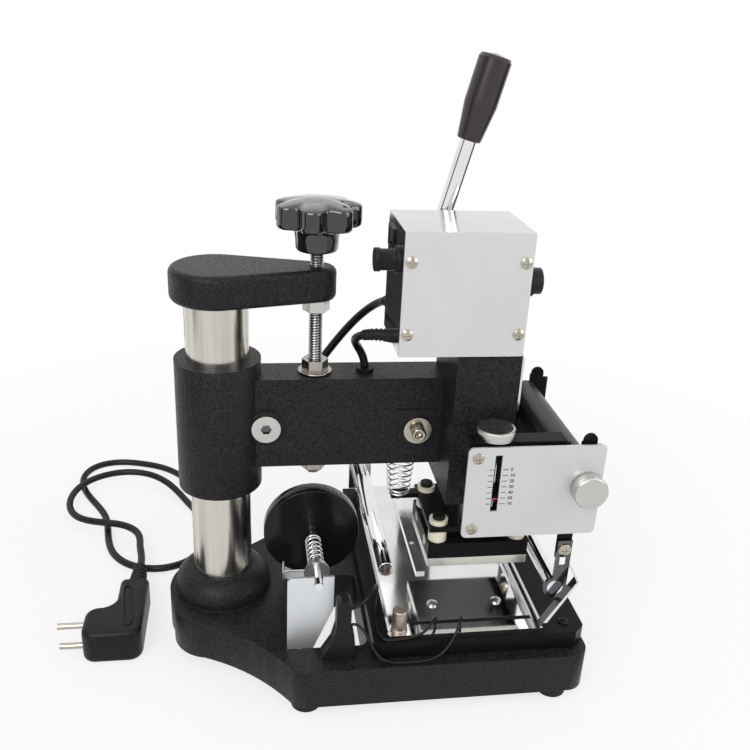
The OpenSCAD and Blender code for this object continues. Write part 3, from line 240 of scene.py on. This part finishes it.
FINISH = {
    "paint": "base_casting top_cap arm_casting head_casting",
    "chrome": "card_fence left_guide_rod right_guide_rod lever_rod reel_shaft ram rod_bracket",
    # The hanger plates in the dark chrome are a painted dark reflection
    "painted_shade": "rod_hangers",
    "column": "column",
    "tray": "work_tray",
    "steel": "frame_fasteners feed_screw pinion_shaft reel_collar thermostat cartridge_heaters feed_knob",
    "nut": "arm_nuts",
    "screw": "arm_fasteners plug_pins",
    "panel": "box_front_panel scale_plate",
    "sheet": "box_body head_side_plate",
    "bracket": "reel_brackets",
    "black": "connector_block fuse_holder switch_body switch_rocker temperature_knob cable_glands bush_screws "
             "feed_pointer",
    "plate": "feed_plates bed_plate ram_plate heater_block",
    "gloss": "reel_disc",
    "grip": "lever_grip",
    "rubber": "rubber_feet",
    "roller": "feed_roller pinch_roller",
    "ceramic": "ceramic_bushes",
    "brass": "stop_post",
    "die": "die_plate",
}


def dress(obj, material):
    obj.data.materials.clear()
    obj.data.materials.append(material)


for finish, names in FINISH.items():
    for name in names.split():
        dress(nodes[name], M[finish])


# Cords

# A smooth B-spline curve near the points, which ends on the last of them
def spline(points, steps):
    ends = [points[0] * 2 - points[1]] + points + [points[-1] * 2 - points[-2]]
    path = []
    for i in range(len(points) - 1):
        a, b, c, d = ends[i:i + 4]
        for s in range(steps):
            t = s / steps
            path.append(((1 - t) ** 3 * a + (3 * t ** 3 - 6 * t * t + 4) * b
                         + (-3 * t ** 3 + 3 * t * t + 3 * t + 1) * c + t ** 3 * d) / 6)
    return path + [points[-1]]


def route(rows, steps=6):
    return spline([place(*row) for row in rows], steps)


def mesh_object(name, verts, faces, material, smooth=True):
    mesh = bpy.data.meshes.new(name)
    mesh.from_pydata([tuple(v) for v in verts], [], faces)
    shape = bmesh.new()
    shape.from_mesh(mesh)
    bmesh.ops.recalc_face_normals(shape, faces=shape.faces)
    shape.to_mesh(mesh)
    shape.free()
    mesh.polygons.foreach_set("use_smooth", [smooth] * len(mesh.polygons))
    mesh.materials.append(material)
    mesh.update()
    obj = bpy.data.objects.new(name, mesh)
    scene.collection.objects.link(obj)
    return obj


def tube(name, path, radii, sides, material):
    verts = []
    across = None
    for i, (p, radius) in enumerate(zip(path, radii)):
        along = (path[min(i + 1, len(path) - 1)] - path[max(i - 1, 0)]).normalized()
        if across is None:
            across = along.orthogonal().normalized()
        across = (across - along * across.dot(along)).normalized()
        other = along.cross(across)
        for k in range(sides):
            turn = 2 * math.pi * k / sides
            verts.append(p + radius * (math.cos(turn) * across + math.sin(turn) * other))
    return mesh_object(name, verts, skin(len(path), sides), material)


# Faces between rings of vertices, closed at both ends
def skin(rows, sides):
    faces = []
    for i in range(rows - 1):
        for k in range(sides):
            a, b = i * sides + k, i * sides + (k + 1) % sides
            faces.append((a, b, b + sides, a + sides))
    last = (rows - 1) * sides
    return faces + [tuple(range(sides - 1, -1, -1)), tuple(range(last, last + sides))]


def lead(name, path, diameter, body, sides=10):
    obj = tube(name + "_wire", path, [diameter / 2] * len(path), sides, M["cord"])
    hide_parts(name)
    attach(obj, body)


# A tapered, grooved sleeve along the first part of a cord
def relief(name, path, length, wide, narrow, groove, body):
    grooves = 7
    pitch = length / grooves
    points, radii = [], []
    done = 0
    for a, b in zip(path, path[1:]):
        points.append(a)
        sunk = groove if done > pitch and (done / pitch) % 1 > 0.6 else 0
        radii.append(wide + (narrow - wide) * done / length - sunk)
        done += (b - a).length
        if done > length:
            break
    obj = tube(name, points, radii, 20, M["black"])
    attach(obj, body)


# Routes of the cords. CORD_R is the height of the mains cord's middle where it lies on the floor.
CORD_R = 3.25
MAINS_DOWN = [(131, 24.3, 265), (131, 42, 265), (126, 60, 260), (110, 72, 243), (90, 72, 218), (70, 68, 190),
              (46, 66, 162), (22, 72, 136), (6, 86, 108), (-2, 104, 80), (-6, 126, 52), (-10, 150, 26),
              (-17, 176, 9), (-27, 202, CORD_R), (-40, 226, CORD_R)]
MAINS_LOOPS = [(-40, 226, CORD_R), (-54, 246, CORD_R), (-72, 262, CORD_R), (-96, 271.5, CORD_R),
               (-120, 277, CORD_R), (-144, 269, CORD_R), (-154, 245, CORD_R), (-147, 216, CORD_R),
               (-131, 190, CORD_R), (-116, 164, CORD_R), (-112, 136, CORD_R), (-106, 104, CORD_R),
               (-88, 82, CORD_R), (-62, 73, CORD_R), (-36, 81, CORD_R), (-19, 104, CORD_R),
               (-17, 132, CORD_R), (-26, 160, CORD_R), (-42, 188, CORD_R), (-56, 212, 7), (-76, 230, 12),
               (-104, 240, 12), (-132, 232, 12), (-152, 210, 12), (-157, 182, 9), (-146, 157, 8),
               (-122, 143, 11), (-98, 138, 12), (-80, 122, 12), (-78, 100, 12)]
MAINS_LEAD = [(-78, 100, 12), (-76, 89, 12), (-74, 78, 13.4), (-73.5, 65, 14)]
LEAD_A = [(92, -88, 78), (97, -88, 79), (105, -83, 84), (112, -70, 84), (115.5, -58, 76), (115.5, -57, 64),
          (113, -66, 57), (112, -80, 56.4), (112, -94, 56.4), (118, -99, 56.4), (130, -97, 56.4), (142, -97, 58),
          (150, -92, 62), (156, -83, 64), (156.5, -81, 59), (156.5, -81, 55)]
LEAD_B = [(92, -95, 70), (97, -95, 70), (103, -98, 62), (108, -103, 50), (116, -105, 42.4), (130, -106, 42.4),
          (146, -106, 42.4), (158, -104, 46), (165, -101, 56), (171, -95, 64), (175, -84, 65), (175.5, -81, 60),
          (175.5, -81, 55)]
HEATER_CABLE = [(119, -34, 265), (112, -34, 266), (104, -31, 265), (98, -23, 261), (96.5, -12, 254),
                (100, -3, 246), (105.5, 0, 237), (107, 0, 228)]


# A turned piece from rows of radius, place along the axis and depth of the waves round its rim
def lathe(name, centre, axis, rows, sides, material, body, waves=0):
    verts = []
    for radius, along, wave in rows:
        for k in range(sides):
            turn = 2 * math.pi * k / sides
            dip = (1 - math.cos(waves * turn)) / 2
            r = radius + wave * (1 - 2 * dip ** 1.6)
            u, v = centre[0] + r * math.cos(turn), centre[1] + r * math.sin(turn)
            verts.append(place(u, v, along) if axis == "z" else place(u, along, v))
    obj = mesh_object(name, verts, skin(len(rows), sides), material)
    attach(obj, body)
    return obj


# The moulded plug: an outline of round corners (middle, radius, first and last angle), rounded at its faces
PLUG_CORNERS = [((-97, -30), 10, 180, 270), ((-72, -30), 10, 270, 360), ((-67, 26), 5, 0, 90),
                ((-80, 26), 5, 90, 180), ((-97, 7), 12, 0, -90), ((-97, -15), 10, 90, 180)]
PLUG_GRIP = [(-80.5, 12), (-81, 17), (-78, 20), (-75, 17), (-74, 4), (-71, -14), (-69.5, -27), (-72, -32),
             (-75.5, -28), (-77.5, -14), (-80, 4), (-80.5, 12)]
CORNER_STEPS = 12
FOLD_STEPS = 6


def plug_outline(inset):
    points = []
    for middle, radius, first, last in PLUG_CORNERS:
        r = radius - inset if last > first else radius + inset
        for k in range(CORNER_STEPS + 1):
            turn = math.radians(first + (last - first) * k / CORNER_STEPS)
            points.append((middle[0] + r * math.cos(turn), middle[1] + r * math.sin(turn)))
    return points


def make_plug():
    height, fold = 28, 4.5
    turns = [math.pi / 2 * k / FOLD_STEPS for k in range(FOLD_STEPS + 1)]
    rows = [(fold * (1 - math.sin(a)), fold * (1 - math.cos(a))) for a in turns]
    rows = rows + [(inset, height - z) for inset, z in reversed(rows)]
    verts = []
    for inset, z in rows:
        verts += [place(x, y, z) for x, y in plug_outline(inset)]
    body = mesh_object("plug_body", verts, skin(len(rows), len(plug_outline(0))), M["black"])
    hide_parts("plug")
    loop = spline([place(x, y, height + 0.2) for x, y in PLUG_GRIP], 6)
    grip = tube("plug_grip", loop, [0.0011] * len(loop), 8, M["black"])
    ribs = []
    count, start, length = 6, 30.5, 34.5
    for i in range(count):
        y, r = start + length * i / count, 8.4 - 0.55 * i
        ribs += [(r - 1.7, y, 0), (r - 0.4, y + 0.5, 0), (r, y + 1.2, 0), (r, y + 3.2, 0), (r - 0.4, y + 3.9, 0),
                 (r - 1.7, y + 4.4, 0)]
    sleeve = lathe("plug_relief", (-73.5, 14), "y", ribs, 32, M["black"], "frame")
    for obj in (body, grip):
        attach(obj, "frame")
    return [body, grip, sleeve]


def make_cords():
    path = route(MAINS_DOWN) + route(MAINS_LOOPS)[1:] + route(MAINS_LEAD)[1:]
    cord = tube("mains_cord", path, [CORD_R / 1000] * len(path), 14, M["cord"])
    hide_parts("power_cord", "cord_coil", "plug_lead")
    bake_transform(cord)
    make_plug() + [nodes["plug_pins"]]
    lead("lead_a", route(LEAD_A), 0.002, "frame")
    lead("lead_b", route(LEAD_B), 0.002, "frame")
    lead("heater_cable", route(HEATER_CABLE), 0.006, "arm", 14)
    relief("mains_relief", route(MAINS_DOWN, 40), 0.028, 0.0054, 0.0041, 0.0008, "arm")
    relief("heater_relief", route(HEATER_CABLE, 24), 0.021, 0.0048, 0.0037, 0.0006, "arm")


make_cords()


# Springs, wound closer over their end coils

COIL_STEPS = 36
RETURN_TOP, RETURN_LOW = 0.155, 0.1208


def helix(centre, axis, side, radii, wire, turns, start, stop, closed, node):
    path = []
    count = turns * COIL_STEPS
    other = axis.cross(side)
    lift = [0.0]
    for i in range(count):
        share = i / count * turns
        ease = min(1, max(0, min(share, turns - share) - closed) / 0.5)
        lift.append(lift[-1] + 0.25 + ease)
    free = abs(stop - start) - wire
    for i in range(count + 1):
        turn = 2 * math.pi * i / COIL_STEPS
        along = start + (stop - start) / abs(stop - start) * (wire / 2 + free * lift[i] / lift[-1])
        radius = radii[0] + (radii[1] - radii[0]) * i / count
        path.append(centre + axis * along + radius * (math.cos(turn) * side + math.sin(turn) * other))
    obj = tube(node + "_wire", path, [wire / 2] * len(path), 10, M["chrome"])
    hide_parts(node)
    return obj


spring = helix(place(138, 0, 0), Vector((0, 0, 1)), Vector((1, 0, 0)), (0.0112, 0.0082), 0.0014, 8, RETURN_TOP,
               RETURN_LOW, 0.6, "return_spring")
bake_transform(spring)
reel_spring = helix(place(69, 5.5, 95.5), Vector((0, 1, 0)), Vector((1, 0, 0)), (0.0056, 0.0056), 0.0012, 7,
                    -0.0655, -0.0325, 0.5, "reel_spring")
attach(reel_spring, "reel")


# Turned and threaded pieces

# A screw thread whose root faces take the dark chrome as painted shade
def thread(name, x, y, low, high, radius, pitch, depth):
    sides, rows_a_turn = 24, 6
    rows = int((high - low) / pitch * rows_a_turn)
    verts = []
    for i in range(rows + 1):
        z = low + (high - low) * i / rows
        for k in range(sides):
            turn = 2 * math.pi * k / sides
            flank = abs(2 * ((z / pitch - k / sides) % 1) - 1)
            r = radius - depth * min(1, max(0, flank * 1.25 - 0.125))
            verts.append(place(x + r * math.cos(turn), y + r * math.sin(turn), z))
    obj = mesh_object(name, verts, skin(rows + 1, sides), M["thread"])
    # The root faces take the dark chrome as painted shade
    obj.data.materials.append(M["painted_shade"])
    axis, root = place(x, y, 0), (radius - 0.6 * depth) / 1000
    for face in obj.data.polygons:
        if (face.center - axis).xy.length < root:
            face.material_index = 1
    return obj


def make_turned():
    rod = thread("threaded_rod", ROD_X, 0, 142.5, 333, 5, 2.0, 1.0)
    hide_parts("adjuster_rod")
    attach(rod, "adjuster")
    knob = lathe("round_knob", (ROD_X, 0), "z",
                 [(12.6, 316, 0), (14, 316.5, 0), (14.9, 318, 0), (15.2, 325, 0), (15.9, 329, 0), (17.4, 331.6, 0),
                  (20, 332.9, 0.4), (24, 333.1, 2.2), (26, 333.6, 3.2), (26.9, 335.2, 3.5), (27, 338, 3.5),
                  (27, 346.5, 3.5), (26.8, 347.7, 3.45), (26.2, 348.5, 3.3), (25.2, 349.1, 3.0), (22, 350.2, 2.2),
                  (17, 351.4, 1.0), (9, 352.6, 0.1), (0.3, 353, 0)], 168, M["knob"], "adjuster", 7)
    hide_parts("star_knob")
    lathe("thumb_disc", (189.5, -71.9), "z",
          [(3.2, 205.28, 0), (12.4, 205.28, 0), (13.0, 205.8, 0.05), (13.2, 206.2, 0.2), (13.2, 211.4, 0.2),
           (13.0, 211.9, 0.05), (12.3, 212.4, 0), (11.4, 212.4, 0), (11.1, 212.35, 0), (0.3, 212.35, 0)],
          240, M["steel"], "feed_setting", 60)
    lathe("cap_screw", (146, 184), "y",
          [(5.3, -20, 0), (5.3, -27.2, 0), (5.1, -27.7, 0), (4.7, -28, 0), (2.9, -28, 0), (2.7, -27.7, 0),
           (2.6, -24.5, 0), (0.2, -24, 0)], 36, M["screw"], "arm")


make_turned()


# Feed scale, painted marks and small colours

def boxes(name, rows, material, body):
    verts, faces = [], []
    for low, high in rows:
        first = len(verts)
        verts += [place(*((high if corner >> i & 1 else low)[i] for i in range(3))) for corner in range(8)]
        faces += [tuple(first + i for i in side) for side in
                  ((0, 1, 3, 2), (4, 6, 7, 5), (0, 4, 5, 1), (2, 3, 7, 6), (0, 2, 6, 4), (1, 5, 7, 3))]
    obj = mesh_object(name, verts, faces, material, smooth=False)
    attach(obj, body)


def number(value, x, y, z, height):
    words = bpy.data.curves.new("number", "FONT")
    words.body = str(value)
    words.size = height / 1000
    words.extrude = 0.00003
    words.offset = 0.00008
    draft = bpy.data.objects.new("number", words)
    scene.collection.objects.link(draft)
    mesh = bpy.data.meshes.new_from_object(draft.evaluated_get(bpy.context.evaluated_depsgraph_get()))
    bpy.data.objects.remove(draft)
    mesh.transform(Matrix.Translation(place(x, y, z)) @ Matrix.Rotation(math.pi / 2, 4, "X"))
    mesh.materials.clear()
    mesh.materials.append(M["ink"])
    obj = bpy.data.objects.new("scale_number_%d" % value, mesh)
    scene.collection.objects.link(obj)
    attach(obj, "arm")


def make_scale():
    front, first, apart = -85.0, 186, 4.5
    ticks = []
    for step in range(7):
        z = first - apart * step
        for x0, x1 in ((183.2, 186.6), (193.2, 197)):
            ticks.append(((x0, front - 0.06, z - 0.25), (x1, front + 0.02, z + 0.25)))
        number(10 * step, 198.6, front - 0.03, z - 1.15, 3.4)
    boxes("scale_ticks", ticks, M["ink"], "arm")
    mark = ((187.4, front - 0.12, 162.6), (191.6, front + 0.05, 163.4))
    boxes("pointer_mark", [mark], M["red"], "pointer")


make_scale()


# Gives another material, a real finish or painted shade, to the faces that are chosen by their centre and normal
def paint_where(name, material, chosen):
    mesh = nodes[name].data
    mesh.materials.append(material)
    last = len(mesh.materials) - 1
    for face in mesh.polygons:
        if chosen(face.center, face.normal):
            face.material_index = last


CLAMP_BOLT = place(34, 0, 188)
SOCKET_RIM, SOCKET_FLOOR = place(0, -20.9, 0).y, place(0, -18.5, 0).y
SOCKET_R = 0.0042
WING_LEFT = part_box("work_tray")[1][0] - 0.031

paint_where("frame_fasteners", M["black"], lambda p, n: p.x > place(235, 0, 0).x)
paint_where("arm_fasteners", M["steel"], lambda p, n: p.x < place(90, 0, 0).x)
# The hex socket of the clamp bolt, from its rim to its floor, takes the dark chrome as painted shade
paint_where("arm_fasteners", M["painted_shade"],
            lambda p, n: (p - CLAMP_BOLT).xz.length < SOCKET_R and SOCKET_RIM < p.y < SOCKET_FLOOR)
# The die plate's underside takes the dark chrome as painted shade under it
paint_where("die_plate", M["painted_shade"], lambda p, n: n.z < -0.9)
# The side faces of the tray's wing take the dark chrome as a painted dark reflection
paint_where("work_tray", M["painted_shade"], lambda p, n: abs(n.x) > 0.4 and p.x > WING_LEFT)


# Rounded edges, by their width in millimetres

EDGES = {"base_casting": 2.5, "arm_casting": 2.5, "head_casting": 1.8, "box_body": 1.0, "box_front_panel": 0.5,
         "connector_block": 0.6, "bed_plate": 0.4, "feed_knob": 1.2, "temperature_knob": 1.0, "fuse_holder": 0.8,
         "stop_post": 0.5, "left_guide_rod": 0.5, "reel_disc": 0.8, "work_tray": 0.3, "die_plate": 0.4,
         "heater_block": 0.4, "arm_nuts": 0.6}


def soften(name, width, segments=2):
    obj = nodes[name]
    weld = obj.modifiers.new("weld", "WELD")
    weld.merge_threshold = 0.00002
    flat = obj.modifiers.new("flat", "DECIMATE")
    flat.decimate_type = "DISSOLVE"
    flat.angle_limit = math.radians(0.6)
    bevel = obj.modifiers.new("bevel", "BEVEL")
    bevel.width = width / 1000
    bevel.segments = segments
    bevel.limit_method = "ANGLE"
    bevel.angle_limit = math.radians(32)
    bevel.harden_normals = True
    bevel.miter_outer = "MITER_ARC"
    return bevel


for name, width in EDGES.items():
    soften(name, width)


# The cap is rounded on its outline only, not at its bores
def round_cap():
    bevel = soften("top_cap", 4.5, 4)
    bevel.limit_method = "WEIGHT"
    mesh = nodes["top_cap"].data
    rod, axis = place(ROD_X, 0, 0), place(0, 0, 0)
    outer = [(v.co - rod).xy.length > 0.008 and (v.co - axis).xy.length > 0.024 for v in mesh.vertices]
    weights = mesh.attributes.new("bevel_weight_edge", "FLOAT", "EDGE")
    for edge in mesh.edges:
        a, b = edge.vertices
        level = abs(mesh.vertices[a].co.z - mesh.vertices[b].co.z) < 0.0001
        weights.data[edge.index].value = 1.0 if level and outer[a] and outer[b] else 0.0


round_cap()


# Stage and light

def make_stage():
    bpy.ops.mesh.primitive_plane_add(size=14, location=(0, 0, -0.0002))
    floor = bpy.context.object
    floor.name = "floor"
    material, tree, shader, coords = new_material("floor")
    shader.inputs["Base Color"].default_value = (0.86, 0.86, 0.86, 1)
    shader.inputs["Roughness"].default_value = 0.8
    glow = tree.nodes.new("ShaderNodeEmission")
    glow.inputs["Color"].default_value = (1, 1, 1, 1)
    glow.inputs["Strength"].default_value = 1.0
    seen = seen_rays(tree)
    away = tree.nodes.new("ShaderNodeVectorMath")
    away.operation = "LENGTH"
    tree.links.new(coords.outputs["Object"], away.inputs[0])
    fade = span(tree, away.outputs["Value"], 0.74, 1.0, 0.25, 0.7)
    mix = tree.nodes.new("ShaderNodeMixShader")
    tree.links.new(math_node(tree, "MULTIPLY", seen, fade), mix.inputs["Fac"])
    tree.links.new(shader.outputs[0], mix.inputs[1])
    tree.links.new(glow.outputs[0], mix.inputs[2])
    tree.links.new(mix.outputs[0], tree.nodes["Material Output"].inputs["Surface"])
    floor.data.materials.append(material)

    world = bpy.data.worlds.new("world")
    scene.world = world
    world.use_nodes = True
    tree = world.node_tree
    back = tree.nodes["Background"]
    back.inputs["Color"].default_value = (1, 1, 1, 1)
    seen = seen_rays(tree)
    tree.links.new(span(tree, seen, 0.42, 1.0, 0, 1), back.inputs["Strength"])


def softbox(name, spot, aim, size, power):
    data = bpy.data.lights.new(name, "AREA")
    data.shape = "SQUARE"
    data.size = size
    data.energy = power
    obj = bpy.data.objects.new(name, data)
    scene.collection.objects.link(obj)
    obj.location = spot
    obj.rotation_euler = (Vector(aim) - Vector(spot)).to_track_quat("-Z", "Y").to_euler()


# A dark card beside the set that only reflections show
def dark_card(name, corner, across, up, tone):
    corner, across, up = Vector(corner), Vector(across), Vector(up)
    material, _, shader, _ = new_material(name)
    shader.inputs["Base Color"].default_value = (tone, tone, tone, 1)
    shader.inputs["Roughness"].default_value = 1.0
    obj = mesh_object(name, [corner, corner + across, corner + across + up, corner + up], [(0, 1, 2, 3)], material)
    obj.visible_camera = False
    obj.visible_diffuse = False
    obj.visible_transmission = False
    obj.visible_shadow = False


make_stage()
dark_card("card_left", (-0.95, -0.45, 0.0), (0.10, 0.40, 0), (0, 0, 0.9), 0.2)
dark_card("card_right", (0.80, -0.10, 0.0), (0.05, 0.45, 0), (0, 0, 0.5), 0.02)
dark_card("card_back", (-0.40, 0.62, 0.0), (0.40, 0.02, 0), (0, 0, 0.2), 0.02)
dark_card("card_high", (0.27, 1.2, 0.78), (0.09, 0, 0), (0, 0, 0.33), 0.05)
LIT_POINT = (0, 0, 0.2)
softbox("key", (-0.7, -1.2, 1.2), LIT_POINT, 0.9, 16)
softbox("top", (0.1, 0.2, 1.5), LIT_POINT, 2.7, 9)
softbox("fill", (1.2, -0.7, 0.7), LIT_POINT, 0.8, 6)
scene.view_settings.view_transform = "Standard"
